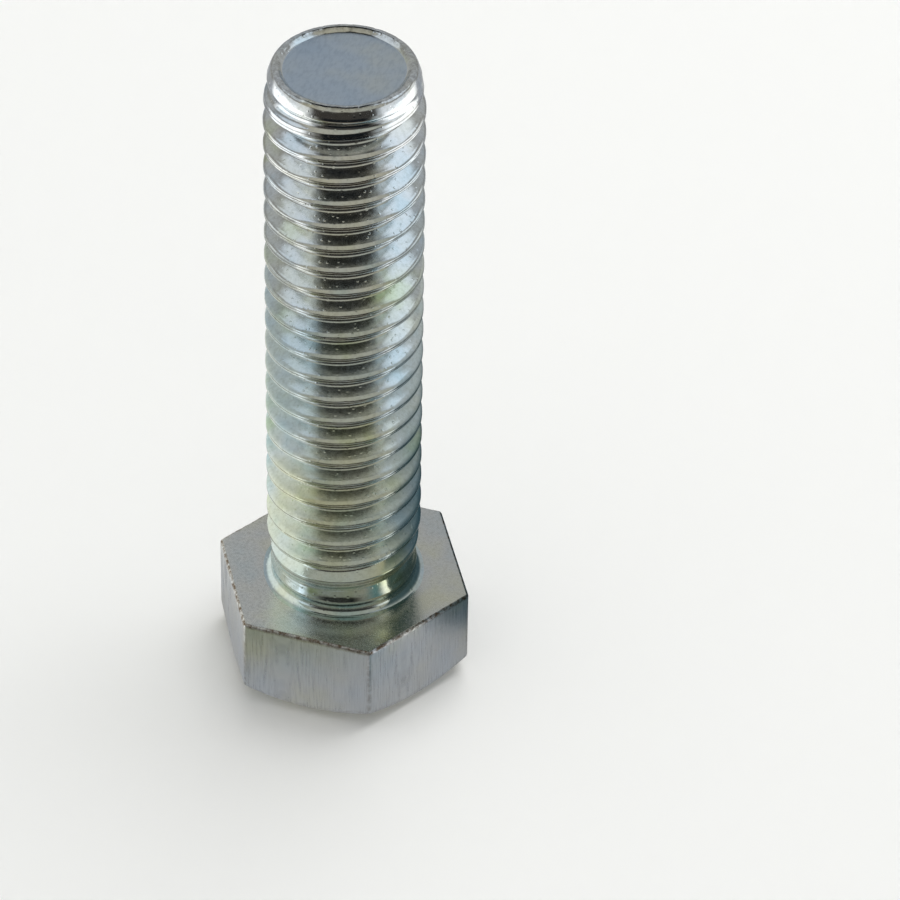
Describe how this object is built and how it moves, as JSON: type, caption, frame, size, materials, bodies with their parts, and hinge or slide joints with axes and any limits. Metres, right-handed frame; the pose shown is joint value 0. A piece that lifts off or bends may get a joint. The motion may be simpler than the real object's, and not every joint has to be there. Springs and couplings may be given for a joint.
{
  "type": "hex bolt",
  "caption": "Fully threaded steel hex bolt with a chamfered hexagonal head, a rolled right-hand thread and a dished point; bright zinc finish.",
  "frame": {"origin": "centre of the bearing face under the head", "axes": "+Z along the shank to the point; two flats of the hexagon face +Y and -Y, two corners lie on X"},
  "size_m": [0.016, 0.0138, 0.0437],
  "materials": {
    "zinc_steel": "bright zinc plate with a clear passivate on cold-forged steel"
  },
  "bodies": {
    "root": {"bolt": "zinc_steel", "head_marks": "zinc_steel"}
  },
  "joints": []
}
